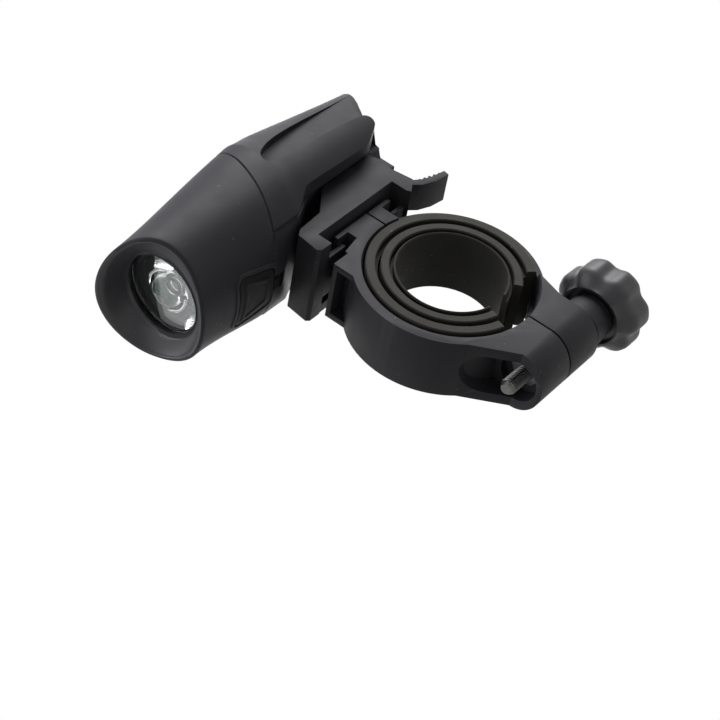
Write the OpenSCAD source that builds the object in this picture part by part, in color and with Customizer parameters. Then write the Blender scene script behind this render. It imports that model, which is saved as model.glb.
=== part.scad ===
// Bike headlight on a handlebar clamp.
// X points forward along the beam, Y along the handlebar, Z up.
// The origin is the centre of the clamp's bore.

/* [Handlebar clamp] */
// Bore of the rubber lining, for a 25.4 mm handlebar with a little slack
bar_d = 26; // [25:0.2:27]
// Thickness of the inner rubber shim
inner_shim_t = 1.3; // [1:0.1:2]
// Thickness of the middle rubber shim
middle_shim_t = 2.1; // [1.6:0.1:3]
// Thickness of the outer rubber shim
outer_shim_t = 3.4; // [2.6:0.1:4]
// Wall of the plastic half rings
ring_wall = 2.4; // [1.8:0.1:3.5]
// Wall of the rear half's strap
rear_wall = 1.5; // [1.4:0.1:2.4]
// How far the strap is set back from the open side
rear_set = 1.2; // [0.6:0.1:1.6]
// How far the front half's outside stands forward of the bore's centre
front_shift = 0.6; // [0:0.1:1]
// Width of the half rings along the bar
ring_w = 16.4; // [14:0.2:18]
// How far the rubber stands proud of each side
shim_proud = 0.45; // [0.2:0.05:0.8]
// Plane where the two halves meet, seen from the bore's centre
split_x = -1.6; // [-2.4:0.2:-0.8]
// Gap between the two halves
split_gap = 0.5; // [0.4:0.1:1]

/* [Clamp screw and knob] */
// Nominal diameter of the clamp screw
screw_d = 4; // [3:0.5:4]
// Wall between the ring and the screw
screw_wall = 2.3; // [2:0.1:4]
// Front face of the front ear at the screw
ear_front = 9.6; // [9:0.1:11]
// Rear face of the rear ear, behind the bore's centre
ear_back = 12.9; // [12:0.1:15]
// How far the screw's tip stands in front of the front ear
screw_proud = 4.2; // [3:0.2:6]
// Outer diameter of the collar where it meets the ear
collar_d = 12.4; // [11:0.2:14]
// Length of the collar
collar_len = 8.1; // [6.5:0.1:10]
// Diameter of the knob over its lobes
knob_d = 22.4; // [20:0.2:26]
// Thickness of the knob
knob_t = 9.6; // [8:0.2:12]
// Number of lobes
knob_lobes = 7; // [5:1:9]

/* [Bracket shoe] */
// Half width of the shoe across the bike
shoe_half_w = 11.2; // [10.4:0.1:13]
// Lift of the T-head over the ring
tee_lift = 2.4; // [2.2:0.1:3.5]
// Thickness of the T-head
tee_t = 1.1; // [1:0.1:1.6]
// Reach of the T-head to the front
tee_front = 10.6; // [9.6:0.1:11.5]
// Reach of the T-head to the rear
tee_back = 9.2; // [8.4:0.1:10]
// Floor of the shoe between the T-head and the rail
shoe_floor = 3.7; // [3.4:0.1:5]
// Half width of the rail's head under the light
rail_half_w = 7.2; // [6.4:0.1:8]
// Half width of the rail's neck
rail_neck = 4.8; // [4:0.1:5.5]
// Thickness of the rail's head
rail_t = 3.2; // [2.6:0.1:4]
// Thickness of the shoe's lips over the rail
lip_t = 2.4; // [2:0.1:3]
// Half width of the release tongue
tongue_half_w = 4.1; // [3.2:0.1:5]

/* [Light] */
// Beam axis over the flat underside of the body
under_drop = 8.1; // [7.8:0.1:9]
// Plane of the seam between the shells at the beam's axis
seam_x = 19.4; // [18:0.2:21]
// Front of the bezel at the beam's axis
rim_x = 49.8; // [49:0.1:54]
// Tail of the body
tail_x = -36; // [-42:0.5:-35]
// Half width of the shells at the seam
seam_half_w = 19.5; // [18.5:0.1:22]
// Half width of the bezel
rim_half_w = 17.8; // [17:0.1:20]
// Wall of the moulded shells
shell_wall = 2; // [1.6:0.1:2.2]
// Radius of the clear opening in the bezel
opening_r = 10.2; // [9:0.1:10.4]
// Diameter of the battery cell
cell_d = 14.2; // [13:0.1:14.4]
// Length of the battery cell
cell_len = 43; // [38:0.5:43.5]
// Radius of the power button
button_r = 4.2; // [3:0.1:4.6]
// Travel of the power button
button_travel = 0.8; // [0.5:0.1:1]
// Half width of the port cover at its front end
cover_front_w = 7.6; // [6:0.1:8]
// Half width of the port cover at its rear end
cover_rear_w = 5.4; // [5:0.1:6]

/* [Clearances] */
// Clearance between pieces that are assembled and stay put
seat_gap = 0.15; // [0.1:0.05:0.2]
// Clearance between pieces that move past each other
slide_gap = 0.3; // [0.25:0.05:0.4]

/* [Hidden] */
$fn = 64;
far = 150;

plastic = "#1c1c1d";
rubber = "#2c2b29";

// Radii of the clamp, from the bore outwards
bar_r = bar_d / 2;
inner_out_r = bar_r + inner_shim_t;
middle_in_r = inner_out_r + seat_gap;
middle_out_r = middle_in_r + middle_shim_t;
outer_in_r = middle_out_r + seat_gap;
outer_out_r = outer_in_r + outer_shim_t;
ring_in_r = outer_out_r + slide_gap;
ring_out_r = ring_in_r + ring_wall;
ring_half_w = ring_w / 2;
shim_half_w = ring_half_w + shim_proud;
// Relief of the shims' edges, radially and along the bar
shim_relief = 0.7;
shim_relief_len = 2;

// Clamp screw, nut and ears
screw_r = screw_d / 2;
screw_z = -(ring_out_r + screw_r + screw_wall);
nut_af = 1.75 * screw_d;
nut_t = 0.8 * screw_d;
nut_x = 2.4;
pocket_r = nut_af / 2 + 2;
thread_gap = 0.05;
ear_hole_r = screw_r + 0.75;
ear_flat = 0.86;
// Hollow in the knob that takes the collar's end
cup_deep = 1.5;
cup_r = collar_d / 2 + 1;
screw_tip_x = ear_front + screw_proud;
collar_x = -ear_back - slide_gap;
knob_x = collar_x - collar_len - slide_gap + cup_deep;
screw_head_t = 0.7 * screw_d;
screw_head_x = knob_x - 4.5;

// Heights of the shoe and the light, from the ring upwards
tee_z = ring_out_r + tee_lift;
tee_top = tee_z + tee_t;
channel_z = tee_top + 1.2;
slot_z = channel_z + shoe_floor;
rail_z = slot_z + slide_gap;
lip_z = rail_z + rail_t + slide_gap;
shoe_top = lip_z + lip_t;
under_z = shoe_top + slide_gap;
beam_h = under_z + under_drop;

// Lengths of the shoe
leg_front = tee_front + 5;
leg_back = tee_back + 2.7;
leg_t = 4.4;
shoe_front = leg_front + leg_t;
shoe_back = leg_back + leg_t;
leg_end_z = tee_z - 2.6;
front_end_z = leg_end_z + 0.9;
slope_top_x = 2.1;
slope_low_x = slope_top_x + 7.4;
lip_half_y = ring_half_w - 2;

// Release tongue
tongue_t = 1.8;
tongue_z = slot_z - 0.2;
tongue_root_x = -shoe_back + 0.9;
tongue_x = -shoe_back - 6.2;
nose_z = under_z - 1.6;
tab_len = 9.6;
tab_drop = 5.4;

// Shells of the light: each section is [x, lean, half width, top, bottom, bow, squareness]
sides = 48;
squareness = 2.25;
seam_lean = -0.43;
seam_top = 18.1;
seam_bottom = 15.3;
// The bezel leans forward at its top, and its sides are cut back
rim_lean = 0.267;
rim_bow = 0.0203;
rim_squareness = 1.95;
rim_top = 12.6;
rim_bottom = 14.8;
rim_round = 0.9;
rim_lip = 1.5;
dish_r = opening_r + 0.05;
head_waist = 0.4;
seam = [seam_x, seam_lean, seam_half_w, seam_top, seam_bottom, 0, squareness];
rim = [rim_x - rim_round, rim_lean, rim_half_w, rim_top, rim_bottom, rim_bow, rim_squareness];
spigot_len = 3;
spigot_t = 1.5;
seal_t = 1.3;
nose_x = seam_x - 5.9;
hump_x = 2;
hump_top = 19.5;
tail_half_w = 10.4;
tail_top = 16;
tail_round = 1.6;
tail_rake = 0.54;
// Edge of the skin over the scoop
slit_z = 2.4;
slit_rise = 3.6;
wing_t = 2.2;
wing_top = -1.6;
wing_low = -under_drop - 1.5;
wing_tail_x = -18.2;
wing_tail_r = 4.2;
nose_rise = 3.8;
tail_rise = 2.6;
web_top = -5.4;

// Optics, from the bezel backwards
gasket_t = 0.5;
lens_t = 1.6;
flange_t = 0.95;
optic_len = 6.2;
board_t = 1.6;
spreader_t = 2.9;
stack_r = opening_r + 1.1;
gasket_x = rim_x - 3.2;
lens_x = gasket_x - gasket_t;
flange_x = lens_x - lens_t - 0.05;
holder_x = flange_x - flange_t - 0.05;
led_board_x = holder_x - optic_len - 0.05;
spreader_x = led_board_x - board_t - 0.05;
spreader_end = spreader_x - spreader_t;

// Cell, boards and switch
cell_r = cell_d / 2;
cell_front = seam_x + 2;
cell_z = -under_drop + shell_wall + slide_gap + cell_r;
board_z = cell_z + cell_r + slide_gap;
control_t = 1.2;
control_half_w = 0.38 * cell_d;
control_front = seam_x - 4.4;
control_len = 24;
switch_z = board_z + control_t;
switch_h = 3.5;
plunger_h = 0.5;
button_z = switch_z + switch_h + plunger_h + button_travel + 0.1;
button_top = hump_top + 0.1;
button_x = hump_x;

// Port cover under the head
cover_rear = seam_x + 7;
cover_len = 11;
cover_front = cover_rear + cover_len;
cover_t = 1.2;
cover_proud = 0.2;
frame_w = 1.3;
frame_proud = 0.35;
pull_half_w = 2;
pull_len = 2.6;
usb_x = cover_rear + 4.6;
usb_mouth = cover_t + 1 - seam_bottom;
cover_corner = 1.2;
usb_w = 7.6;
usb_d = 2.8;
charge_z = -8.6;
charge_half_w = cover_front_w - 1;
charge_back = seam_x + spigot_len + seal_t + 0.1;

function mix(a, b, t) = a + (b - a) * t;
function power(v, p) = sign(v) * pow(abs(v), p);

// Changes to a section: moved along X, or made smaller all round
function ahead(d) = [d, 0, 0, 0, 0, 0, 0];
function smaller(d) = [0, 0, -d, -d, -d, 0, 0];

// One section as points: an oval with its own top and bottom, leaning and bowed along X
function section(s, grow) = [for (i = [0 : sides - 1])
    let (turn = 360 * i / sides,
         y = (s[2] + grow) * power(cos(turn), 2 / s[6]),
         tall = (sin(turn) > 0 ? s[3] : s[4]) + grow,
         z = tall * power(sin(turn), 2 / s[6]))
    [s[0] + s[1] * z + s[5] * z * z, y, z]];

// The end of a skin, in strips that run straight across it
quarter = sides / 4;
cap = concat([[3 * quarter, 3 * quarter + 1, 3 * quarter - 1]],
    [for (i = [1 - quarter : quarter - 2])
        [for (k = [i, i + 1, 2 * quarter - i - 1, 2 * quarter - i]) (k + sides) % sides]],
    [[quarter - 1, quarter, quarter + 1]]);

// A closed skin through a list of sections, from the rear to the front
module loft(sections, grow = 0) {
    rows = len(sections);
    points = [for (s = sections) each section(s, grow)];
    walls = [for (r = [0 : rows - 2], i = [0 : sides - 1])
        let (a = r * sides + i, b = r * sides + (i + 1) % sides)
        each [[a, b + sides, b], [a, a + sides, b + sides]]];
    front = [for (strip = cap) [for (i = [len(strip) - 1 : -1 : 0]) strip[i] + (rows - 1) * sides]];
    polyhedron(points, concat(walls, cap, front));
}

// Sections of the head, from the seam to the rounded rim
function head_at(d) = mix(seam, rim, d / (rim[0] - seam[0]));
function waist(t) = smaller(head_waist * 6.75 * t * t * (1 - t));
head_straight = [for (t = [0, 0.25, 0.5, 0.7, 0.86, 1]) mix(seam, rim, t) + waist(t)];
head_rim = [for (turn = [30, 60, 90])
    rim + ahead(rim_round * sin(turn)) + smaller(rim_round * (1 - cos(turn)))];
head_sections = concat(head_straight, head_rim);
// The head's skin carried on behind the seam
under_run = concat([seam - ahead(2 * pull_len)], head_straight);

// Sections of the spine between the scoops, and of the skin over them, from the tail to the seam
function spine_w(x) = mix(seam_half_w + 0.2, tail_half_w, pow((nose_x - x) / (nose_x - tail_x), 0.35));
function upper_w(x) = mix(tail_half_w, seam_half_w + 0.2, pow((x - tail_x) / (nose_x - tail_x), 1.35));
function spine_top(x) = x > hump_x ? mix(hump_top, seam_top, (x - hump_x) / (seam_x - hump_x))
    : mix(hump_top, tail_top, pow((hump_x - x) / (hump_x - tail_x), 1.3));
function lean(x) = x > 5 ? seam_lean * (x - 5) / (seam_x - 5) : 0;
function spine(x) = [x, lean(x), spine_w(x), spine_top(x), seam_bottom, 0, squareness];
function upper(x) = [x, lean(x), upper_w(x), spine_top(x), seam_bottom, 0, squareness];
spine_tail = [for (turn = [90, 60, 30])
    spine(tail_x + tail_round) - ahead(tail_round * sin(turn)) + smaller(tail_round * (1 - cos(turn)))];
spine_steps = [1, 0.85, 0.7, 0.55, 0.42, 0.3, 0.2, 0.12, 0.06, 0.025, 0.008, 0.001, 0];
spine_run = [for (u = spine_steps) spine(mix(nose_x, tail_x + tail_round, u))];
spine_sections = concat(spine_tail, spine_run, [seam]);
upper_run = concat([upper(tail_x + tail_round) + smaller(0.1)],
    [for (u = [0.85, 0.65, 0.45, 0.25, 0.1, 0]) upper(mix(nose_x, tail_x, u))],
    [mix(upper(nose_x), seam, 0.3) + smaller(0.1)]);
function slit(x) = slit_z + slit_rise * pow(min((nose_x - x) / 25.5, 1.6), 0.9);
// Plane of the raked rear face, at a height over the beam
function rake(z) = tail_x + tail_rake * (tail_top - 0.9 - z);

// Sections of the side wings, from their tails forward
function wing_w(x) = seam_half_w - 0.0011 * pow(nose_x - x, 2);
function wing_run(rear) = [for (x = [rear, -20, -14, -8, -2, 4, 9, 13]) [x, 0, wing_w(x), 16,
    seam_bottom, 0, squareness]];

module in_light() translate([0, 0, beam_h]) children();
// A profile drawn in X and Z, as wide as w along Y
module slab(w) rotate([90, 0, 0]) linear_extrude(w, center = true) children();
// A cylinder along X from x0 to x1
module along_x(x0, x1, r0, r1 = -1) translate([x0, 0, 0]) rotate([0, 90, 0])
    cylinder(h = x1 - x0, r1 = r0, r2 = r1 < 0 ? r0 : r1);
// A box from its lowest to its highest corner
module block(low, high) translate(low) cube(high - low);
// A shape turned about the beam, drawn as radius over distance along X
module turned() rotate([0, 90, 0]) rotate_extrude() children();

// One side of the port cover seen from below, from the rear to its cut front corner, grown by g
function cover_side(g) = let (slope = (cover_front_w - cover_rear_w) / cover_len)
    [[cover_rear - g, 0], [cover_rear - g, cover_rear_w + g],
     [cover_front + g - cover_corner, cover_front_w + g - slope * cover_corner],
     [cover_front + g, cover_front_w + g - cover_corner]];
// Outlines of the port cover and of its pull tab, grown by g
module cover_outline(g) {
    side = cover_side(g);
    polygon(concat([for (p = side) [p[0], -p[1]]], [for (i = [3 : -1 : 1]) side[i]]));
}
module pull_outline(g) translate([cover_rear - pull_len - g, -pull_half_w - g])
    square([pull_len + 2 * g + 0.1, 2 * (pull_half_w + g)]);

// A patch of the shells' underside inside an outline, from depth low to height high over the skin
module under_skin(low, high) difference() {
    intersection() {
        loft(under_run, high);
        translate([0, 0, -far]) linear_extrude(far) children();
    }
    loft(under_run, low);
}

// Shells

module head_shell() {
    color(plastic) in_light() difference() {
        union() {
            loft(head_sections);
            intersection() {
                under_skin(-shell_wall, frame_proud) cover_outline(frame_w);
                loft(head_straight, 1);
            }
        }
        // room for the boards behind the optics
        difference() {
            loft([seam - ahead(0.1), mix(seam, rim, 0.5)], -shell_wall);
            block([spreader_end + 1, -far, -far], [far, far, far]);
        }
        along_x(spreader_end - 2, gasket_x, stack_r);
        along_x(gasket_x - 1, far, opening_r);
        // dish of the bezel
        loft([[gasket_x + 0.8, 0, dish_r, dish_r, dish_r, 0, 2],
            rim + ahead(rim_round + 0.2) + smaller(rim_lip)]);
        under_skin(-cover_t - seat_gap, 2) {
            cover_outline(slide_gap);
            pull_outline(slide_gap);
        }
        usb_block(slide_gap, -seam_bottom - 5, charge_z + 3);
    }
}

// Room of the socket, grown by g, from height low to high
module usb_block(g, low, high) block([usb_x - usb_d / 2 - g, -usb_w / 2 - g, low],
    [usb_x + usb_d / 2 + g, usb_w / 2 + g, high]);

// Side view of a wing: its upper edge dips behind the scoop's nose and rises to the rounded tail
function wing_edge(x) = wing_top
    + pow(x, 2) * (x > 0 ? nose_rise / pow(nose_x, 2) : tail_rise / pow(wing_tail_x, 2));
module wing_outline() {
    polygon(concat([for (x = [nose_x : -1.5 : wing_tail_x]) [x, wing_edge(x)]],
        [[wing_tail_x, wing_top], [wing_tail_x - 3, wing_top - 4.4], [wing_tail_x + 5.6, wing_low],
        [wing_tail_x + 5.6, wing_low - 6], [nose_x, wing_low - 6]]));
    translate([wing_tail_x, wing_edge(wing_tail_x) - wing_tail_r]) circle(r = wing_tail_r);
}

module wings() {
    difference() {
        intersection() {
            loft(wing_run(-26));
            slab(far) wing_outline();
        }
        intersection() {
            loft(wing_run(-27), -wing_t);
            block([-far, -far, web_top], [far, far, far]);
        }
    }
}

// Cut under the body that lets the shoe in, as profiles along the light
module under_cut(z) polygon([[-far, z], [seam_x - 12 + (-under_drop - z) * 1.85, z], [seam_x + 2.4, -15.6],
    [seam_x + 12, -21], [-far, -21]]);

// What is kept of the skin over the scoops, and what the raked rear face takes away
module over_slit() polygon(concat([for (x = [nose_x, 8, 2, -4, -12, -20, -28, tail_x - 3]) [x, slit(x)]],
    [[tail_x - 3, far], [seam_x + 9, far], [seam_x + 9, slit_z]]));
module behind_rake(d) polygon([[rake(far) + d, far], [rake(-far) + d, -far],
    [-2 * far, -far], [-2 * far, far]]);

module rail() {
    z0 = rail_z - beam_h;
    x0 = -shoe_back + 2;
    x1 = slope_top_x + 2;
    block([x0, -rail_neck, z0 + 0.2], [x1, rail_neck, -under_drop + 0.5]);
    block([x0, -rail_half_w, z0], [x1, rail_half_w, z0 + rail_t]);
}

module body_shell() {
    color(plastic) in_light() {
        difference() {
            union() {
                loft(spine_sections);
                intersection() {
                    loft(upper_run);
                    slab(far) over_slit();
                }
                wings();
            }
            slab(far) behind_rake(0);
            slab(far) under_cut(wing_low);
            slab(2 * (shoe_half_w + 1.6)) under_cut(-under_drop);
            // room for the cell and the boards
            intersection() {
                loft(concat([spine(tail_x + 2 * shell_wall)], [for (u = [0.7, 0.42, 0.2, 0.06])
                    spine(mix(nose_x, tail_x, u))], [seam + ahead(0.1)]), -shell_wall);
                difference() {
                    block([-far, -far, -under_drop + shell_wall], [far, far, far]);
                    slab(far) behind_rake(shell_wall * 1.15);
                    slab(far) translate([shell_wall * 1.1, shell_wall]) under_cut(-under_drop);
                }
            }
            // notch for the port cover's pull tab
            under_skin(-cover_t - seat_gap, 2) pull_outline(slide_gap);
            translate([button_x, 0, 0]) cylinder(h = 40, r = button_r + slide_gap);
            translate([button_x, 0, 0]) cylinder(h = button_z + 1.1, r = button_r + 1.8);
        }
        // spigot that enters the head
        difference() {
            loft([seam - ahead(1), seam, head_at(spigot_len)], -shell_wall - seat_gap);
            loft([seam - ahead(2), seam, head_at(spigot_len + 1)], -shell_wall - spigot_t);
            slab(far) under_cut(-under_drop);
        }
        rail();
        // stop behind the nose of the release tongue, a rib down the raked face
        block([tongue_x - 4.2, -tongue_half_w, nose_z + 0.2 - beam_h],
            [tongue_x - 2, tongue_half_w, -under_drop + 7]);
    }
}

module seam_seal() color(rubber) in_light() difference() {
    loft([head_at(spigot_len + 0.1), head_at(spigot_len + seal_t)], -shell_wall - seat_gap);
    loft([head_at(spigot_len - 1), head_at(spigot_len + seal_t + 1)], -shell_wall - spigot_t);
}

// Optics

module front_lens() color([0.9, 0.95, 1, 0.35]) in_light()
    along_x(lens_x - lens_t, lens_x, stack_r - seat_gap);

module lens_gasket() color(rubber) in_light() difference() {
    along_x(gasket_x - gasket_t, gasket_x, stack_r - seat_gap);
    along_x(gasket_x - 2, gasket_x + 1, opening_r);
}

module collimator() color([0.95, 0.97, 1, 0.4]) in_light() {
    cone = 6;
    foot = 3;
    end_x = led_board_x + 1.1;
    turned() polygon([[0, flange_x], [stack_r - 0.4, flange_x], [stack_r - 0.4, flange_x - flange_t],
        [cone, flange_x - flange_t], [cone - 1.1, mix(flange_x - flange_t, end_x, 0.45)], [foot, end_x],
        [2.2, end_x], [2.2, end_x + 2.6], [1.2, end_x + 3.1], [0, end_x + 3.2]]);
}

module optic_holder() color(plastic) in_light() difference() {
    along_x(holder_x - optic_len, holder_x, stack_r - seat_gap);
    along_x(holder_x - optic_len - 1, holder_x + 1, opening_r - 0.5);
}

module led_board() color("#1f6a3f") in_light()
    along_x(led_board_x - board_t, led_board_x, stack_r - seat_gap);

module led_emitter() color("#e8e2c0") in_light() {
    block([led_board_x, -1.7, -1.7], [led_board_x + 0.9, 1.7, 1.7]);
    intersection() {
        translate([led_board_x + 0.9, 0, 0]) sphere(r = 1.4);
        along_x(led_board_x + 0.5, led_board_x + 4, 1.5);
    }
}

module heat_spreader() color("#b9bcc0") in_light() difference() {
    along_x(spreader_end, spreader_x, stack_r - seat_gap);
    for (side = [-1, 1]) translate([0, side * (stack_r - 3), 0])
        along_x(spreader_end - 1, spreader_x + 1, 1.2);
}

// Cell, boards, switch and socket

module battery_cell() color("#3d6fa8") in_light() translate([0, 0, cell_z]) {
    along_x(cell_front - cell_len, cell_front - 1, cell_r);
    along_x(cell_front - 1, cell_front, 0.4 * cell_r);
}

module control_board() color("#1f6a3f") in_light()
    block([control_front - control_len, -control_half_w, board_z],
        [control_front, control_half_w, board_z + control_t]);

module mode_switch() color("#303236") in_light() {
    block([button_x - 3, -3, switch_z], [button_x + 3, 3, switch_z + switch_h]);
    translate([button_x, 0, switch_z + switch_h]) cylinder(h = plunger_h, r = 1.7);
}

module charge_board() color("#1f6a3f") in_light()
    block([charge_back, -charge_half_w, charge_z], [spreader_end - 0.4, charge_half_w, charge_z + 1]);

module usb_port() color("#c4c6c8") in_light() difference() {
    usb_block(0, usb_mouth, charge_z);
    usb_block(-0.4, -seam_bottom - 5, charge_z - 0.8);
}

module power_button() color(rubber) in_light() translate([button_x, 0, 0]) rotate_extrude()
    polygon([[0, button_z], [button_r + 1.4, button_z], [button_r + 1.4, button_z + 0.8],
        [button_r, button_z + 0.8], [button_r, button_top - 0.5], [button_r - 0.5, button_top - 0.1],
        [0, button_top]]);

module port_cover() color(rubber) in_light() under_skin(-cover_t, cover_proud) {
    cover_outline(0);
    pull_outline(0);
}

// Bracket

module shoe_outline() polygon([[shoe_front - 2.6, slot_z + 0.3], [shoe_front - 0.8, slot_z - 0.8],
    [shoe_front, front_end_z + 0.8], [shoe_front - 0.8, front_end_z], [leg_front, front_end_z],
    [leg_front, channel_z], [-leg_back, channel_z],
    [-leg_back, leg_end_z + 0.4], [-leg_back - 0.6, leg_end_z - 0.6], [-shoe_back, leg_end_z + 2],
    [-shoe_back + 0.9, slot_z - 0.6], [-shoe_back - 0.3, slot_z + 2], [-shoe_back + 1.1, shoe_top],
    [slope_top_x, shoe_top], [slope_low_x, slot_z + 0.9]]);

module bracket_shoe() color(plastic) {
    difference() {
        slab(2 * shoe_half_w) shoe_outline();
        // T-slot for the rail, open to the front and to the rear
        block([-far, -rail_half_w - slide_gap, slot_z], [far, rail_half_w + slide_gap, lip_z]);
        block([-far, -rail_neck - slide_gap, slot_z], [far, rail_neck + slide_gap, shoe_top + 1]);
        // seat of the release tongue
        block([-far, -tongue_half_w - slide_gap, tongue_z - tongue_t - slide_gap],
            [tongue_root_x + slide_gap, tongue_half_w + slide_gap, slot_z + 1]);
    }
    // lips under the T-head, set back from the sides
    block([tee_front - 1.4, -lip_half_y, front_end_z + 0.2],
        [leg_front + 0.5, lip_half_y, tee_z - slide_gap]);
    block([-leg_back - 0.5, -lip_half_y, leg_end_z + 0.3],
        [-tee_back + 1.2, lip_half_y, tee_z - slide_gap - 1]);
    // closed end that stops the T-head
    block([-leg_back - 0.5, -shoe_half_w, front_end_z + 0.2],
        [leg_front + 0.5, -ring_half_w - slide_gap, channel_z + 0.5]);
}

module release_tongue() color(plastic) {
    w = 2 * tongue_half_w;
    slab(w) polygon([[tongue_root_x, tongue_z], [tongue_x + tongue_t, tongue_z],
        [tongue_x + tongue_t, nose_z - 1.2], [tongue_x + tongue_t - 0.6, nose_z], [tongue_x, nose_z],
        [tongue_x, tongue_z - 1.4], [tongue_x - 2.6, tongue_z - 3.4], [tongue_x - 5.6, tongue_z - 4.6],
        [tongue_x - tab_len, tongue_z - tab_drop], [tongue_x - tab_len + 0.3, tongue_z - tab_drop - 1.6],
        [tongue_x - 5, tongue_z - 6.4], [tongue_x - 1.4, tongue_z - 5], [tongue_x + 0.9, tongue_z - 3],
        [tongue_x + tongue_t, tongue_z - tongue_t], [tongue_root_x, tongue_z - tongue_t]]);
    // ribs on the thumb tab
    for (i = [0 : 4])
        translate([tongue_x - 2.4 - 1.35 * i, 0, tongue_z - 3.35 - 0.46 * i]) rotate([90, 0, 0])
            cylinder(h = w, r = 0.32, center = true);
}

// Clamp

module front_ring() translate([front_shift, 0, 0]) slab(ring_w) circle(r = ring_out_r);
module rear_strap() translate([0, -rear_set / 2, 0]) slab(ring_w - rear_set)
    circle(r = ring_in_r + rear_wall);

// Both ears in one outline, rounded about the screw
module ears() intersection() {
    slab(ring_w) polygon([[-ear_back - 2.4, -14], [-ear_back, screw_z + 5.2], [-ear_back, screw_z - 12],
        [ear_front, screw_z - 12], [ear_front, screw_z], [ring_out_r * 0.78, -ring_out_r * 0.62]]);
    union() {
        translate([0, 0, screw_z]) scale([1, 1, ear_flat]) along_x(-far, far, ring_half_w);
        block([-far, -ring_half_w, screw_z], [far, ring_half_w, 0]);
    }
}

module tee_head() slab(ring_w) {
    polygon([[-tee_back + 3.4, ring_out_r - 3], [-tee_back + 3.4, tee_z], [-tee_back, tee_z],
        [-tee_back, tee_top - 0.5], [-tee_back + 0.7, tee_top], [tee_front, tee_top], [tee_front, tee_z],
        [tee_front - 3.6, tee_z], [tee_front - 3.6, ring_out_r - 3]]);
    // shoulder in front of the neck
    polygon([[0, ring_out_r - 6], [0, leg_end_z - 0.2], [tee_front - 3, leg_end_z - 0.2],
        [tee_front + 2, leg_end_z - 1.2], [tee_front + 2, ring_out_r - 7]]);
}

// Hollow block in front of the T-head
module pedestal() difference() {
    block([8, -ring_half_w, ring_out_r - 10], [leg_front + 2.2, ring_half_w, leg_end_z - 2]);
    block([leg_front - 2, -ring_half_w + 1.6, ring_out_r - 8.8], [far, ring_half_w - 1.6, leg_end_z - 3.2]);
}

module clamp_bores() {
    slab(far) circle(r = ring_in_r);
    // eased edges round the rubber
    for (side = [-1, 1]) translate([0, side * (ring_half_w - 1.4), 0]) rotate([-90 * side, 0, 0])
        cylinder(h = 1.5, r1 = ring_in_r, r2 = ring_in_r + 0.6);
    translate([0, 0, screw_z]) along_x(-far, 0, ear_hole_r);
}

module clamp_front_half() color(plastic) difference() {
    intersection() {
        union() {
            front_ring();
            ears();
            tee_head();
            pedestal();
        }
        block([split_x + split_gap / 2, -far, -far], [far, far, far]);
    }
    clamp_bores();
    // pocket for the screw's end, with a seat for the nut
    difference() {
        translate([0, 0, screw_z]) {
            along_x(nut_x + nut_t, far, pocket_r);
            translate([0, 0, 5.5]) along_x(nut_x + nut_t + 2, far, pocket_r);
            block([nut_x + nut_t + 2, -pocket_r, 0], [far, pocket_r, 5.5]);
        }
        slab(far) circle(r = ring_in_r + 1.3);
    }
    translate([0, 0, screw_z]) {
        along_x(-1, far, screw_r + slide_gap);
        translate([nut_x, 0, 0]) rotate([0, 90, 0])
            cylinder(h = 10, d = (nut_af + 2 * seat_gap) / cos(30), $fn = 6);
    }
}

module clamp_rear_half() color(plastic) difference() {
    intersection() {
        union() {
            rear_strap();
            ears();
            tee_head();
        }
        block([-far, -far, -far], [split_x - split_gap / 2, far, far]);
    }
    clamp_bores();
}

// A shim's cross-section over its radius, relieved at the edges that show
module shim_section(r_in, r_out, in_relief, out_relief) {
    w = shim_half_w;
    d = shim_relief_len;
    polygon([[r_in + in_relief, -w], [r_out - out_relief, -w], [r_out - out_relief, d - w], [r_out, d - w],
        [r_out, w - d], [r_out - out_relief, w - d], [r_out - out_relief, w], [r_in + in_relief, w],
        [r_in + in_relief, w - d], [r_in, w - d], [r_in, d - w], [r_in + in_relief, d - w]]);
}

// A slit rubber band, open from rear_end to front_end degrees either side of straight down
module shim(rear_end, front_end) rotate([90, 0, 0]) rotate([0, 0, front_end - 90])
    rotate_extrude(angle = 360 - front_end - rear_end) children();

module outer_shim() color(rubber) shim(47, 17) shim_section(outer_in_r, outer_out_r, shim_relief, 0);
module middle_shim() color(rubber) shim(30, 14) shim_section(middle_in_r, middle_out_r, 0, 0);
module inner_shim() color(rubber) shim(12, 12) shim_section(bar_r, inner_out_r, 0, shim_relief);

module clamp_nut() color("#8d9094") translate([nut_x, 0, screw_z]) rotate([0, 90, 0]) difference() {
    cylinder(h = nut_t, d = nut_af / cos(30), $fn = 6);
    translate([0, 0, -1]) cylinder(h = nut_t + 2, r = screw_r + thread_gap);
}

module clamp_screw() color("#b3b5b6") translate([0, 0, screw_z]) {
    along_x(screw_head_x, screw_tip_x - 0.5, screw_r);
    along_x(screw_tip_x - 0.5, screw_tip_x, screw_r, screw_r - 0.5);
    translate([screw_head_x - screw_head_t, 0, 0]) rotate([0, 90, 0])
        cylinder(h = screw_head_t, d = nut_af / cos(30), $fn = 6);
}

module knob_collar() color(plastic) translate([0, 0, screw_z]) difference() {
    along_x(collar_x - collar_len, collar_x, collar_d / 2 - 0.5, collar_d / 2);
    along_x(-far, 0, screw_r + slide_gap);
}

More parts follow.
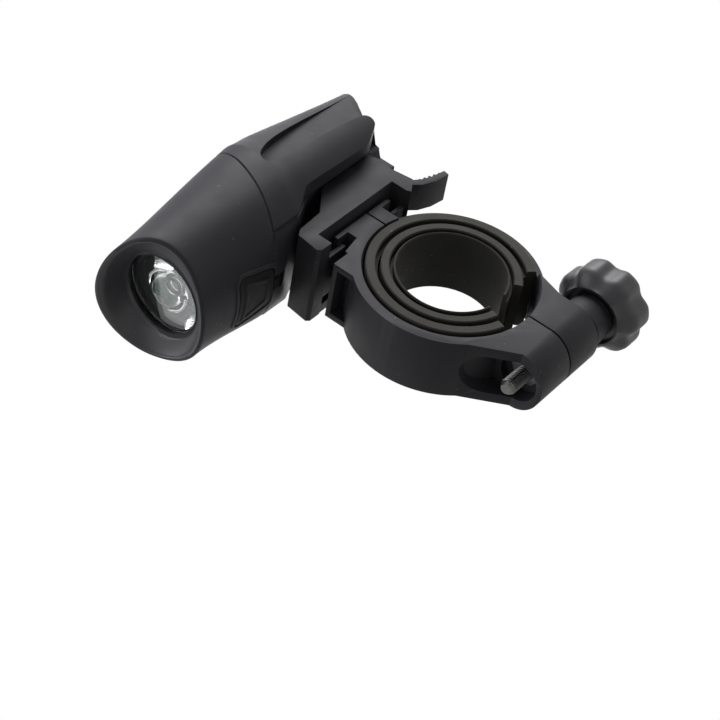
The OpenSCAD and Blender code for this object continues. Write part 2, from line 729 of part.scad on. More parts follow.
module clamp_knob() color(plastic) translate([0, 0, screw_z]) difference() {
    r = knob_d / 2;
    translate([knob_x, 0, 0]) rotate([0, -90, 0]) rotate_extrude()
        polygon([[0, cup_deep], [cup_r - 0.3, cup_deep], [cup_r, 0], [cup_r + 0.7, 0], [r - 1.2, 2.2],
            [r, 3.6], [r, knob_t - 1.6], [r - 0.9, knob_t - 0.3], [r - 2, knob_t], [0, knob_t]]);
    for (i = [0 : knob_lobes - 1]) rotate([360 * (i + 0.05) / knob_lobes, 0, 0])
        translate([0, r + 2, 0]) along_x(knob_x - knob_t - 1, knob_x + 1, 0.41 * r);
    along_x(-far, 0, screw_r + thread_gap);
    translate([-far, 0, 0]) rotate([0, 90, 0])
        cylinder(h = far + screw_head_x, d = (nut_af + 0.1) / cos(30), $fn = 6);
}

head_shell();
body_shell();
seam_seal();
front_lens();
lens_gasket();
collimator();
optic_holder();
led_board();
led_emitter();
heat_spreader();
control_board();
mode_switch();
charge_board();
usb_port();
battery_cell();
power_button();
port_cover();
bracket_shoe();
release_tongue();
clamp_front_half();
clamp_rear_half();
outer_shim();
middle_shim();
inner_shim();
clamp_screw();
clamp_nut();
knob_collar();
clamp_knob();
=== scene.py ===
import math
import bpy
from mathutils import Matrix, Vector


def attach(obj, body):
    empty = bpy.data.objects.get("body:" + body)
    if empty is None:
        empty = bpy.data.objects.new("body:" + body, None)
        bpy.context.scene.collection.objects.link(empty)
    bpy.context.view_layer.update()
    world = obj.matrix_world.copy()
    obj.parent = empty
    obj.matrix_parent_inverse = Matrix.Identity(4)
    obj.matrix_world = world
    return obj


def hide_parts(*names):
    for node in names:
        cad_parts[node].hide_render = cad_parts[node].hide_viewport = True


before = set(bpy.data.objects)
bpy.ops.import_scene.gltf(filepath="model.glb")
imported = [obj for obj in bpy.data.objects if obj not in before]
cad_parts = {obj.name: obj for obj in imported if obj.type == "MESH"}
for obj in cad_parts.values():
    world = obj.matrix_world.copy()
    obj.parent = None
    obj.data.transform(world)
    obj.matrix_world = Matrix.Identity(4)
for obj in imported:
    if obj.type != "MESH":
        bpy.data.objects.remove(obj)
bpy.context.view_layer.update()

mm = 0.001
beamHeight = 45.8  # beam axis over the middle of the clamp's bore
screwHeight = -27.1  # clamp screw's axis, below the bore
squareness = 2.25  # how square the shells' oval sections are


def restart():
    if bpy.context.object and bpy.context.object.mode != 'OBJECT':
        bpy.ops.object.mode_set(mode='OBJECT')
    bpy.ops.object.select_all(action='DESELECT')


def pick(piece):
    restart()
    bpy.context.view_layer.objects.active = piece
    piece.select_set(True)


def nameNew(name):  # what was just added becomes this piece
    piece = bpy.context.object
    piece.name = name
    piece.data.name = name
    return piece


def closeMesh(piece):  # weld the seams, cap the open ends and face outwards
    pick(piece)
    bpy.ops.object.mode_set(mode='EDIT')
    bpy.ops.mesh.select_all(action='SELECT')
    bpy.ops.mesh.remove_doubles(threshold=2e-6)
    bpy.ops.mesh.dissolve_degenerate(threshold=1e-6)
    bpy.ops.mesh.select_all(action='DESELECT')
    bpy.ops.mesh.select_mode(type='EDGE')
    bpy.ops.mesh.select_non_manifold(extend=False, use_wire=False, use_multi_face=False,
                                     use_non_contiguous=False, use_verts=False)
    bpy.ops.mesh.fill_holes(sides=0)
    bpy.ops.mesh.select_all(action='SELECT')
    bpy.ops.mesh.normals_make_consistent(inside=False)
    bpy.ops.object.mode_set(mode='OBJECT')


def wrapGrid(name, rings):  # a grid rolled into a tube: each row of its points goes to one ring, in mm
    restart()
    count = len(rings[0])
    bpy.ops.mesh.primitive_grid_add(x_subdivisions=count, y_subdivisions=len(rings) - 1, size=0.01)
    piece = nameNew(name)
    for row, ring in enumerate(rings):
        for column in range(count + 1):
            piece.data.vertices[row * (count + 1) + column].co = Vector(ring[column % count]) * mm
    closeMesh(piece)
    return piece


def lathe(name, outline, axis='X', steps=96, place=(0, 0, 0)):  # outline as (along the axis, radius) in mm
    rings = []
    for along, radius in outline:
        ring = []
        for step in range(steps):
            a = 2 * math.pi * step / steps
            c, s = radius * math.cos(a), radius * math.sin(a)
            point = {'X': (along, c, s), 'Y': (c, along, s), 'Z': (c, s, along)}[axis]
            ring.append([p + q for p, q in zip(point, place)])
        rings.append(ring)
    return wrapGrid(name, rings)


def addBox(name, low, high, edge=0.0, segments=3):  # a cube set to its corners in mm, with rounded edges
    restart()
    centre = [(a + b) / 2 * mm for a, b in zip(low, high)]
    bpy.ops.mesh.primitive_cube_add(size=1, location=centre)
    piece = nameNew(name)
    piece.scale = [(b - a) * mm for a, b in zip(low, high)]
    bpy.ops.object.transform_apply(location=True, rotation=True, scale=True)
    if edge:
        bevel(piece, edge, segments)
    return piece


def useModifier(piece, kind, **settings):
    pick(piece)
    modifier = piece.modifiers.new(kind.lower(), kind)
    for key, value in settings.items():
        setattr(modifier, key, value)
    bpy.ops.object.modifier_apply(modifier=modifier.name)


def bevel(piece, edge, segments=2, **more):  # edges rounded to edge mm
    useModifier(piece, 'BEVEL', width=edge * mm, segments=segments, limit_method='ANGLE', **more)


def cutWith(piece, cutter):
    useModifier(piece, 'BOOLEAN', object=cutter, operation='DIFFERENCE', solver='EXACT')
    bpy.data.objects.remove(cutter, do_unlink=True)


def joinInto(piece, others):
    restart()
    for other in others:
        other.select_set(True)
    piece.select_set(True)
    bpy.context.view_layer.objects.active = piece
    bpy.ops.object.join()
    return piece


def smooth(piece, degrees=35):
    pick(piece)
    bpy.ops.object.shade_smooth_by_angle(angle=math.radians(degrees))


def copyNode(node, name):  # a welded copy of a CAD node's mesh, with its flat faces made whole
    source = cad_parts[node]
    piece = source.copy()
    piece.data = source.data.copy()
    bpy.context.scene.collection.objects.link(piece)
    piece.parent = None
    piece.name = name
    piece.data.name = name
    pick(piece)
    bpy.ops.object.mode_set(mode='EDIT')
    bpy.ops.mesh.select_all(action='SELECT')
    bpy.ops.mesh.remove_doubles(threshold=5e-6)
    bpy.ops.mesh.dissolve_limited(angle_limit=math.radians(0.6))
    bpy.ops.object.mode_set(mode='OBJECT')
    return piece


def dress(piece, material, body, slot, *nodes):  # finish, motion and the CAD nodes that the piece stands for
    piece.data.materials.clear()
    piece.data.materials.append(material)
    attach(piece, body)
    for node in nodes:
        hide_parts(node)


def linear(hexColour):
    values = [int(hexColour[i:i + 2], 16) / 255 for i in (0, 2, 4)]
    return [v / 12.92 if v <= 0.04045 else ((v + 0.055) / 1.055) ** 2.4 for v in values] + [1.0]


def addNode(tree, kind, settings=None, links=None):  # lower-case settings are properties, others are sockets
    node = tree.nodes.new(kind)
    for key, value in (settings or {}).items():
        if isinstance(key, str) and key[0].islower():
            setattr(node, key, value)
        else:
            node.inputs[key].default_value = value
    for socket, source in (links or {}).items():
        tree.links.new(source, node.inputs[socket])
    return node


def newMaterial(name, shaderSettings):
    material = bpy.data.materials.new(name)
    material.use_nodes = True
    tree = material.node_tree
    tree.nodes.clear()
    shader = addNode(tree, 'ShaderNodeBsdfPrincipled', shaderSettings)
    addNode(tree, 'ShaderNodeOutputMaterial', links={'Surface': shader.outputs[0]})
    return material, tree, shader


def objectPlace(tree):
    return addNode(tree, 'ShaderNodeTexCoord').outputs['Object']


def linkTo(tree, node, sources):
    for socket, source in sources.items():
        tree.links.new(source, node.inputs[socket])


def addNoise(tree, where, size, detail, **more):  # noise whose grain is size mm
    settings = {'Scale': 1 / (size * mm), 'Detail': detail, **more}
    return addNode(tree, 'ShaderNodeTexNoise', settings, {'Vector': where}).outputs['Fac']


def addTone(tree, share, dark, light):  # from dark to light by share
    tone = addNode(tree, 'ShaderNodeMix', {'data_type': 'RGBA'}, {'Factor': share})
    tone.inputs[6].default_value = linear(dark)
    tone.inputs[7].default_value = linear(light)
    return tone.outputs[2]


def addOver(tree, share, under, over):  # a plain colour over another, by share
    mixed = addNode(tree, 'ShaderNodeMix', {'data_type': 'RGBA'}, {'Factor': share, 6: under})
    mixed.inputs[7].default_value = linear(over)
    return mixed.outputs[2]


def addRange(tree, value, start, end, low, high):  # value from start to end becomes low to high
    settings = {'From Min': start, 'From Max': end, 'To Min': low, 'To Max': high}
    return addNode(tree, 'ShaderNodeMapRange', settings, {'Value': value}).outputs[0]


def addBump(tree, height, strength, deep):  # deep in mm
    settings = {'Strength': strength, 'Distance': deep * mm}
    return addNode(tree, 'ShaderNodeBump', settings, {'Height': height}).outputs[0]


def seenDirectly(tree):  # 1 for rays that show the surroundings: to the camera, mirrored or through glass
    paths = addNode(tree, 'ShaderNodeLightPath').outputs
    seen = paths['Is Camera Ray']
    for kind in ('Is Glossy Ray', 'Is Transmission Ray'):
        seen = addNode(tree, 'ShaderNodeMath', {'operation': 'MAXIMUM'}, {0: seen, 1: paths[kind]}).outputs[0]
    return seen


def mouldedPlastic(name, look):  # tinted polymer from a textured tool: fine grain, handling and dust
    material, tree, shader = newMaterial(name, {'IOR': look['ior'], 'Specular IOR Level': look['specular']})
    where = objectPlace(tree)
    grain = addNoise(tree, where, look['grain'], 3.0)
    patch = addNoise(tree, where, look['patch'], 4.0, Roughness=0.6)
    flecks = addNode(tree, 'ShaderNodeValToRGB', links={'Fac': addNoise(tree, where, look['dust'], 1.0)})
    flecks.color_ramp.elements[0].position = 0.74
    flecks.color_ramp.elements[1].position = 0.80
    dusty = addNode(tree, 'ShaderNodeMath', {'operation': 'MULTIPLY', 1: look['dusty']},
                    {0: flecks.outputs['Color']}).outputs[0]
    edge = addNode(tree, 'ShaderNodeNewGeometry').outputs['Pointiness']
    worn = addRange(tree, edge, 0.53, 0.62, 0.0, look['wear'])
    rubbed = addOver(tree, worn, addTone(tree, patch, look['dark'], look['light']), look['rubbed'])
    linkTo(tree, shader, {'Base Color': addOver(tree, dusty, rubbed, '8c8780'),
                          'Roughness': addRange(tree, patch, 0.3, 0.7, *look['rough']),
                          'Normal': addBump(tree, grain, look['bump'], 0.05)})
    return material


# Satin injection-moulded ABS of the shells: a spark-eroded skin that scatters a soft sheen
satinAbs = mouldedPlastic('satinMouldedAbs', dict(
    ior=1.53, specular=0.16, grain=0.45, patch=9, dust=1.6, dark='28282d', light='303035', rubbed='424248',
    wear=0.35, dusty=0.18, rough=(0.50, 0.60), bump=0.05))
# The same ABS in the bezel's dish, from a coarser eroded face of the tool that scatters more light
dishAbs = mouldedPlastic('coarseMouldedAbs', dict(
    ior=1.53, specular=0.50, grain=0.50, patch=9, dust=1.6, dark='28282d', light='303035', rubbed='424248',
    wear=0.35, dusty=0.18, rough=(0.46, 0.56), bump=0.10))
# Glass-filled nylon of the clamp: a duller, coarser skin with a trace of grey from the fibres
glassNylon = mouldedPlastic('glassFilledNylon', dict(
    ior=1.53, specular=0.13, grain=0.55, patch=6, dust=1.3, dark='2b2b2f', light='343438', rubbed='48484c',
    wear=0.45, dusty=0.22, rough=(0.44, 0.56), bump=0.16))
# Moulded rubber of the shims: warm grey-black, chalky, with a bloom that dulls its gloss
mouldedRubber = mouldedPlastic('mouldedRubber', dict(
    ior=1.52, specular=0.10, grain=0.60, patch=5, dust=1.1, dark='333230', light='3f3e3b', rubbed='54524d',
    wear=0.40, dusty=0.35, rough=(0.56, 0.68), bump=0.22))
# The same nylon on the knob, worn to a sheen by the hand
handledNylon = mouldedPlastic('handledNylon', dict(
    ior=1.53, specular=0.42, grain=0.55, patch=5, dust=1.3, dark='2e2e31', light='38383c', rubbed='505054',
    wear=0.50, dusty=0.18, rough=(0.36, 0.48), bump=0.10))
# Softer black rubber of the port cover and the button
coverRubber = mouldedPlastic('softCoverRubber', dict(
    ior=1.52, specular=0.10, grain=0.50, patch=4, dust=1.0, dark='1c1c1d', light='242425', rubbed='343435',
    wear=0.35, dusty=0.30, rough=(0.50, 0.62), bump=0.20))
# Polyacetal of the switch
switchPlastic = mouldedPlastic('switchPolyacetal', dict(
    ior=1.48, specular=0.40, grain=0.40, patch=3, dust=1.0, dark='1f2024', light='2a2b30', rubbed='3a3b40',
    wear=0.30, dusty=0.10, rough=(0.34, 0.42), bump=0.08))


def clearPlastic(name, ior, tint, hazeSize):  # polished clear moulding with faint haze and fine flow marks
    settings = {'IOR': ior, 'Transmission Weight': 1.0, 'Base Color': linear(tint)}
    material, tree, shader = newMaterial(name, settings)
    where = objectPlace(tree)
    haze = addNoise(tree, where, hazeSize, 3.0)
    linkTo(tree, shader, {'Roughness': addRange(tree, haze, 0.35, 0.75, 0.0, 0.05),
                          'Normal': addBump(tree, haze, 0.04, 0.02)})
    return material


clearPolycarbonate = clearPlastic('clearPolycarbonate', 1.58, 'fbfdfe', 4.0)
clearAcrylic = clearPlastic('clearAcrylic', 1.49, 'fcfdfd', 2.5)


def plainMetal(name, light, dark, rough, grainSize, stretch):  # plated or turned metal with fine drawn marks
    material, tree, shader = newMaterial(name, {'Metallic': 1.0})
    where = objectPlace(tree)
    drawn = addNode(tree, 'ShaderNodeMapping', {'Scale': stretch}, {'Vector': where})
    grain = addNoise(tree, drawn.outputs[0], grainSize, 4.0)
    cloud = addNoise(tree, where, 1.8, 3.0)
    linkTo(tree, shader, {'Base Color': addTone(tree, cloud, dark, light),
                          'Roughness': addRange(tree, grain, 0.3, 0.7, *rough),
                          'Normal': addBump(tree, grain, 0.12, 0.02)})
    return material


zincSteel = plainMetal('zincPlatedSteel', '6e6f6d', '515352', (0.34, 0.48), 0.3, (1, 1, 1))
turnedAluminium = plainMetal('turnedAluminium', 'c9cbcd', 'aeb1b4', (0.25, 0.38), 0.25, (0.1, 1, 1))
cellCan = plainMetal('cellSleeveFoil', '4f86bd', '3a6ea6', (0.30, 0.42), 0.5, (0.15, 1, 1))


def circuitBoard(name, mask, track):  # solder mask over copper: tracks show as lighter, slightly raised runs
    material, tree, shader = newMaterial(name, {'IOR': 1.5, 'Roughness': 0.32})
    where = objectPlace(tree)
    turned = addNode(tree, 'ShaderNodeMapping', {'Rotation': (0, math.pi / 2, 0)}, {'Vector': where})
    copper = {'Scale': 1 / (3.0 * mm), 'Mortar Size': 0.035, 'Mortar Smooth': 0.2,
              'Color1': linear(mask), 'Color2': linear(mask), 'Mortar': linear(track)}
    runs = addNode(tree, 'ShaderNodeTexBrick', copper, {'Vector': turned.outputs[0]})
    weave = addNode(tree, 'ShaderNodeTexNoise', {'Scale': 1 / (0.5 * mm), 'Detail': 2.0}, {'Vector': where})
    tone = addNode(tree, 'ShaderNodeMix', {'data_type': 'RGBA', 'blend_type': 'OVERLAY', 'Factor': 0.25},
                   {6: runs.outputs['Color'], 7: weave.outputs['Color']})
    linkTo(tree, shader, {'Base Color': tone.outputs[2],
                          'Normal': addBump(tree, runs.outputs['Fac'], 0.25, 0.04)})
    return material


solderMask = circuitBoard('greenSolderMask', '1f7a44', '46a56c')


def speckled(name, light, dark, size, settings):  # small ceramic, phosphor and solder surfaces
    material, tree, shader = newMaterial(name, settings)
    where = objectPlace(tree)
    speck = addNoise(tree, where, size, 3.0)
    linkTo(tree, shader, {'Base Color': addTone(tree, speck, dark, light)})
    return material


ledPhosphor = speckled('ledPhosphor', 'f0e39a', 'd8c870', 0.2, {'Roughness': 0.5})
ledCeramic = speckled('ledCeramic', 'e9e7df', 'd3d1c8', 0.3, {'Roughness': 0.4})
ceramicCap = speckled('ceramicChip', 'c9a13b', 'a67f28', 0.3, {'Roughness': 0.35})
brightSolder = speckled('brightSolder', 'd0d1d0', 'a9abac', 0.3, {'Roughness': 0.25, 'Metallic': 1.0})
print('materials done')


# Camera where the photo was taken from, a pale floor and soft studio light
shot = dict(place=(0.33218, 0.34253, -0.17796), turn=(125.244, 50.68, 167.285), lens=110, sensor=36)
restart()
bpy.ops.object.camera_add(location=shot['place'], rotation=[math.radians(a) for a in shot['turn']])
camera = nameNew('photoCamera')
camera.data.lens = shot['lens']
camera.data.sensor_width = shot['sensor']
bpy.context.scene.camera = camera

ground = dict(size=3, level=-0.25, unseen='6a6a68', seen='f2f2f0')
restart()
bpy.ops.mesh.primitive_plane_add(size=ground['size'], location=(0, 0, ground['level']))
floor = nameNew('paleFloor')
floorPaint, floorTree, floorShader = newMaterial('paleFloorPaint', {'Roughness': 0.8})
floorTone = addTone(floorTree, seenDirectly(floorTree), ground['unseen'], ground['seen'])
linkTo(floorTree, floorShader, {'Base Color': floorTone})
floor.data.materials.append(floorPaint)

lamps = dict(
    key=dict(towards=(-0.52, 0.66, 0.54), away=0.75, size=0.6, power=6.8),
    front=dict(towards=(0.66, 0.05, 0.75), away=0.8, size=0.4, power=3.0),
    back=dict(towards=(-0.70, -0.60, 0.40), away=0.9, size=0.5, power=3.0))
aim = Vector((0.005, 0, 0.015))
for lampName, lamp in lamps.items():
    restart()
    towards = Vector(lamp['towards']).normalized()
    bpy.ops.object.light_add(type='AREA', location=aim + towards * lamp['away'])
    light = nameNew(lampName + 'Lamp')
    light.rotation_euler = towards.to_track_quat('Z', 'Y').to_euler()
    light.data.shape = 'SQUARE'
    light.data.size = lamp['size']
    light.data.energy = lamp['power']

# Two narrow window panes that the flat lens mirrors: middle and run on the lens, length and width in mm
panes = dict(upper=dict(middle=(46.1, 6.7, 47.4), run=(0, 2.2, -4.6), long=5.0, wide=0.55),
             lower=dict(middle=(46.1, -5.8, 38.4), run=(0, -6.27, 0.8), long=3.4, wide=0.8))
paneGlow = 60  # watts for a square metre of pane
for paneName, pane in panes.items():
    restart()
    middle = Vector(pane['middle']) * mm
    mirrored = Vector((2 * middle.x - shot['place'][0], shot['place'][1], shot['place'][2]))
    ray = middle - mirrored
    away = ray.normalized()
    side = Vector(pane['run']).normalized()
    side = (side - away * side.dot(away)).normalized()
    bpy.ops.object.light_add(type='AREA', location=middle + ray)
    light = nameNew(paneName + 'Pane')
    light.rotation_euler = Matrix((side, away.cross(side), away)).transposed().to_euler()
    light.data.shape = 'RECTANGLE'
    light.data.size = 2 * pane['long'] * mm
    light.data.size_y = 2 * pane['wide'] * mm
    light.data.energy = paneGlow * light.data.size * light.data.size_y

studio = dict(fill=0.2, seen=1.0)  # the world's strength as light, and where it is seen or mirrored
world = bpy.data.worlds.new('whiteStudio')
bpy.context.scene.world = world
world.use_nodes = True
worldTree = world.node_tree
worldTree.nodes.clear()
level = addNode(worldTree, 'ShaderNodeMapRange', {'To Min': studio['fill'], 'To Max': studio['seen']},
                {'Value': seenDirectly(worldTree)})
sky = addNode(worldTree, 'ShaderNodeBackground', {'Color': (1, 1, 1, 1)}, {'Strength': level.outputs[0]})
addNode(worldTree, 'ShaderNodeOutputWorld', links={'Surface': sky.outputs[0]})
bpy.context.scene.view_settings.view_transform = 'Standard'
print('camera and light done')


# Head shell: oval at the seam, a bezel whose top leans forward, and a dish round the lens
# Each section is x, lean, half width, top, bottom, bow, squareness
head = dict(seam=(19.4, -0.43, 19.5, 18.1, 15.3, 0, 2.25), rim=(48.9, 0.267, 17.8, 12.6, 14.8, 0.0203, 1.95),
            rimRound=0.9, innerRound=0.6, lip=1.5, waist=0.4, wall=2.0, sides=96, seamGroove=0.32,
            dishBack=47.35, dishR=10.3, dishDeep=0.3, stepDeep=0.25, opening=10.2, seatX=46.6, seatR=11.3,
            roomX=33.6)
seamX, rimX = head['seam'][0], head['rim'][0]


def mix(a, b, t):
    return [p + (q - p) * t for p, q in zip(a, b)]


def blendIn(x, start, end):  # 0 before start, 1 after end, smooth between
    t = min(max((x - start) / (end - start), 0), 1)
    return t * t * (3 - 2 * t)


def power(v, p):
    return math.copysign(abs(v) ** p, v)


def oval(section, grow=0.0, turns=None):
    x, lean, half, top, bottom, bow, square = section
    turns = turns or [2 * math.pi * i / head['sides'] for i in range(head['sides'])]
    ring = []
    for turn in turns:
        y = (half + grow) * power(math.cos(turn), 2 / square)
        tall = (top if math.sin(turn) > 0 else bottom) + grow
        z = tall * power(math.sin(turn), 2 / square)
        ring.append((x + lean * z + bow * z * z, y, z + beamHeight))
    return ring


def change(section, ahead, smaller):
    x, lean, half, top, bottom, bow, square = section
    return (x + ahead, lean, half - smaller, top - smaller, bottom - smaller, bow, square)


def headSection(x):
    t = (x - seamX) / (rimX - seamX)
    # 6.75 * t * t * (1 - t) is 0 at both ends and 1 at its peak
    return change(mix(head['seam'], head['rim'], t), 0, head['waist'] * 6.75 * t * t * (1 - t))


groove = head['seamGroove']
headRings = [oval(headSection(seamX + 0.03), -groove), oval(headSection(seamX + groove), -0.03)]
for t in (0.03, 0.1, 0.2, 0.3, 0.4, 0.5, 0.6, 0.68, 0.76, 0.84, 0.91, 0.96, 1):
    headRings.append(oval(headSection(seamX + (rimX - seamX) * t)))
for turn in (15, 30, 45, 60, 75, 90):  # rounded lip
    a = math.radians(turn)
    headRings.append(oval(change(head['rim'], head['rimRound'] * math.sin(a),
                                 head['rimRound'] * (1 - math.cos(a)))))
for turn in (25, 50, 75):
    a = math.radians(turn)
    headRings.append(oval(change(head['rim'], head['rimRound'] - head['innerRound'] * (1 - math.cos(a)),
                                 head['rimRound'] + head['innerRound'] * math.sin(a))))
dishTop = change(head['rim'], 0.35, head['lip'] + 0.05)
dishEnd = (head['dishBack'], 0, head['dishR'], head['dishR'], head['dishR'], 0, 2)
for t in (0.1, 0.25, 0.42, 0.6, 0.72, 0.76, 0.79, 0.83, 0.9, 0.96, 1):  # dish, with a step by the lens
    section = mix(dishTop, dishEnd, t)
    section[0] -= head['dishDeep'] * math.sin(math.pi * t)
    section[0] -= head['stepDeep'] * blendIn(t, 0.73, 0.78) * (1 - blendIn(t, 0.88, 1))
    headRings.append(oval(section))
opening, seatX, seatR, roomX = head['opening'], head['seatX'], head['seatR'], head['roomX']
for x, radius in ((47.2, opening + 0.02), (47.0, opening), (seatX, opening), (seatX, seatR), (roomX, seatR)):
    headRings.append(oval((x, 0, radius, radius, radius, 0, 2)))
headRings += [oval(mix(headSection(roomX), (roomX, 0, 18.5, 16.2, 14.7, 0, 2.1), 0.9), -head['wall']),
              oval(headSection(24), -head['wall']), oval(headSection(seamX + 0.03), -head['wall'])]
headRings.append(headRings[0])
headShell = wrapGrid('headShell', headRings)
print('head shell done')


def underHead(x, y):  # height of the shells' underside at a place, in mm over the bar
    station = x
    for step in range(30):  # sections lean, so the one that passes here is found step by step
        section = headSection(station)
        z = -section[4] * max(1 - (abs(y) / section[2]) ** section[6], 0) ** (1 / section[6])
        station += 0.7 * (x - section[0] - section[1] * z - section[5] * z * z)
    return z + beamHeight


# Port in the head's underside: a raised frame, a rubber cover in its recess and the socket behind
port = dict(rear=26.4, front=37.4, rearHalf=5.4, frontHalf=7.6, corner=1.6, frameIn=0.32, frameOut=1.25,
            frameHigh=0.38, recess=1.35, tabHalf=2.0, tabLength=2.6)


def portOutline(grow):  # trapezoid with round corners, seen from below, from the rear edge round
    corners = [(port['rear'] - grow, -port['rearHalf'] - grow),
               (port['front'] + grow, -port['frontHalf'] - grow),
               (port['front'] + grow, port['frontHalf'] + grow),
               (port['rear'] - grow, port['rearHalf'] + grow)]
    radius = max(port['corner'] + grow, 0.15)
    outline = []
    for i, corner in enumerate(corners):
        here = Vector(corner)
        before = (Vector(corners[i - 1]) - here).normalized()
        after = (Vector(corners[(i + 1) % 4]) - here).normalized()
        half = before.angle(after) / 2
        middle = here + (before + after).normalized() * radius / math.sin(half)
        start = (here + before * radius / math.tan(half)) - middle
        end = (here + after * radius / math.tan(half)) - middle
        first = math.atan2(start.y, start.x)
        sweep = (math.atan2(end.y, end.x) - first + math.pi) % (2 * math.pi) - math.pi
        for step in range(9):
            a = first + sweep * step / 8
            outline.append((middle.x + radius * math.cos(a), middle.y + radius * math.sin(a)))
    dense = []
    for i, point in enumerate(outline):  # long sides get points of their own, so they follow the skin
        after = outline[(i + 1) % len(outline)]
        parts = 10 if i % 9 == 8 else 1
        for part in range(parts):
            dense.append(tuple(mix(point, after, part / parts)))
    return dense


def onSkin(outline, high):  # a plan outline laid on the underside, raised by high
    return [(x, y, underHead(x, y) - high) for x, y in outline]


def towardsMiddle(outline, keep):
    cx = sum(p[0] for p in outline) / len(outline)
    return [(cx + (x - cx) * keep, y * keep) for x, y in outline]


def patch(name, levels):  # concentric rings on the skin, as (grow, keep, high)
    rings = [onSkin(towardsMiddle(portOutline(grow), keep), high) for grow, keep, high in levels]
    return wrapGrid(name, rings)


recess = patch('portRecess', [(0.3, keep, 2) for keep in (0.03, 0.5, 1)]
               + [(0.3, keep, -port['recess']) for keep in (1, 0.75, 0.5, 0.25, 0.03)])
cutWith(headShell, recess)
tabRoom = addBox('tabRoom', (22, -2.3, 29.2), (27, 2.3, 31.85))
cutWith(headShell, tabRoom)
usbRoom = addBox('usbRoom', (29.3, -4.1, 28), (32.7, 4.1, 40), 0.5)
cutWith(headShell, usbRoom)
smooth(headShell, 32)

outer, inner, top = port['frameOut'], port['frameIn'], port['frameHigh']
frameRings = [onSkin(portOutline(grow), high) for grow, high in
              ((outer + 0.12, -0.3), (outer + 0.02, 0.1), (outer - 0.12, 0.3), (outer - 0.3, top),
               (inner + 0.2, top), (inner + 0.06, 0.3), (inner, 0.15), (inner, -0.5))]
frameRings.append(frameRings[0])
portFrame = wrapGrid('portFrame', frameRings)
behindSeam = addBox('behindSeam', (-10, -30, -40), (0, 30, 40))
seamTurn = Matrix.Rotation(math.atan(-head['seam'][1]), 4, 'Y').inverted()
behindSeam.data.transform(Matrix.Translation(((seamX + 0.1) * mm, 0, beamHeight * mm)) @ seamTurn)
cutWith(portFrame, behindSeam)
tabGap = addBox('tabGap', (22, -2.3, 29), (27, 2.3, 34))
cutWith(portFrame, tabGap)
smooth(portFrame, 40)
joinInto(headShell, [portFrame])
dress(headShell, satinAbs, 'light', 'satin_abs', 'head_shell')
headShell.data.materials.append(dishAbs)
for face in headShell.data.polygons:  # the dish faces inwards, in front of the lens opening
    inwards = face.normal.y * face.center.y + face.normal.z * (face.center.z - beamHeight * mm)
    if face.center.x > (head['dishBack'] - 0.1) * mm and inwards < 0:
        face.material_index = 1
print('port frame done')

portCover = patch('portCover', [
    (0, 0.03, -1.2), (0, 0.5, -1.2), (0, 1, -1.2), (0, 1, 0.0), (-0.05, 1, 0.12), (-0.2, 1, 0.2),
    (-0.5, 1, 0.2), (-1.3, 1, 0.19), (-1.5, 1, 0.22), (-1.62, 1, 0.38), (-1.8, 1, 0.42),
    (-2.3, 1, 0.42), (-2.5, 1, 0.38), (-2.62, 1, 0.2), (-2.8, 1, 0.18), (-2.8, 0.8, 0.18),
    (-2.8, 0.5, 0.18), (-2.8, 0.25, 0.18), (-2.8, 0.03, 0.18)])
smooth(portCover, 50)


def tabRing(grow, high):
    outline = []
    low, far = port['rear'] - port['tabLength'], port['rear'] + 0.6
    half = port['tabHalf']
    for x, y in ((far, -half - grow), (low + 0.7, -half - grow), (low + 0.2 - grow, -half + 0.5),
                 (low - grow, 0), (low + 0.2 - grow, half - 0.5), (low + 0.7, half + grow),
                 (far, half + grow)):
        outline.append((x, y, underHead(max(x, 20.0), y) - high))
    return outline


pullTab = wrapGrid('pullTab', [tabRing(0, -1.1), tabRing(0, -0.1), tabRing(-0.15, 0.12)])
bevel(pullTab, 0.12)
ribs = []
for i in range(4):
    x = port['rear'] - 2.1 + 0.55 * i
    rib = addBox('tabRib', (x, -1.7, underHead(x, 0) - 0.34), (x + 0.26, 1.7, underHead(x, 0) + 0.3), 0.1, 2)
    ribs.append(rib)
smooth(pullTab, 40)
joinInto(portCover, [pullTab] + ribs)
dress(portCover, coverRubber, 'cover', 'black_rubber', 'port_cover')
print('port cover done')


# Rear body: a spine with a scoop along each side, two wings, and a cut that lets the bracket's shoe in
body = dict(noseX=13.5, humpX=2.0, humpTop=19.5, tailX=-35.9, tailTop=16.0, tailHalf=10.4, noseHalf=19.7,
            seamTop=18.1, seamHalf=19.5, bottom=15.3, tailRound=1.0, rakeStart=-19.95, rake=0.54,
            rakeX=-27.85, rakeBow=0.2, underDrop=8.1, wingLow=-9.0, wingThick=2.2, wingTop=16,
            wingTailX=-17.85, wingTailZ=-4.85, wingTailR=2.0, webTop=-5.4, channelHalf=12.8, scoopTip=1.8,
            scoopRound=2.0, edge=0.3, leanStart=5, cutStart=7.4, cutWingStart=10.2, cutEnd=21.8,
            cutLow=-15.6, wall=2.4, spigotX=22.4, spigotGap=2.15, spigotIn=3.5)


def skinY(z, half, top):  # half width of an oval skin at height z over the beam
    tall = top if z > 0 else body['bottom']
    return half * max(1 - min(abs(z) / tall, 1) ** squareness, 0) ** (1 / squareness)


def skinBottom(y, half):
    return -body['bottom'] * max(1 - min(abs(y) / half, 1) ** squareness, 0) ** (1 / squareness)


def spineTop(x):
    if x > body['humpX']:
        t = (x - body['humpX']) / (seamX - body['humpX'])
        return body['humpTop'] + (body['seamTop'] - body['humpTop']) * t
    t = (body['humpX'] - x) / (body['humpX'] - body['tailX'])
    return body['humpTop'] + (body['tailTop'] - body['humpTop']) * t ** 1.3


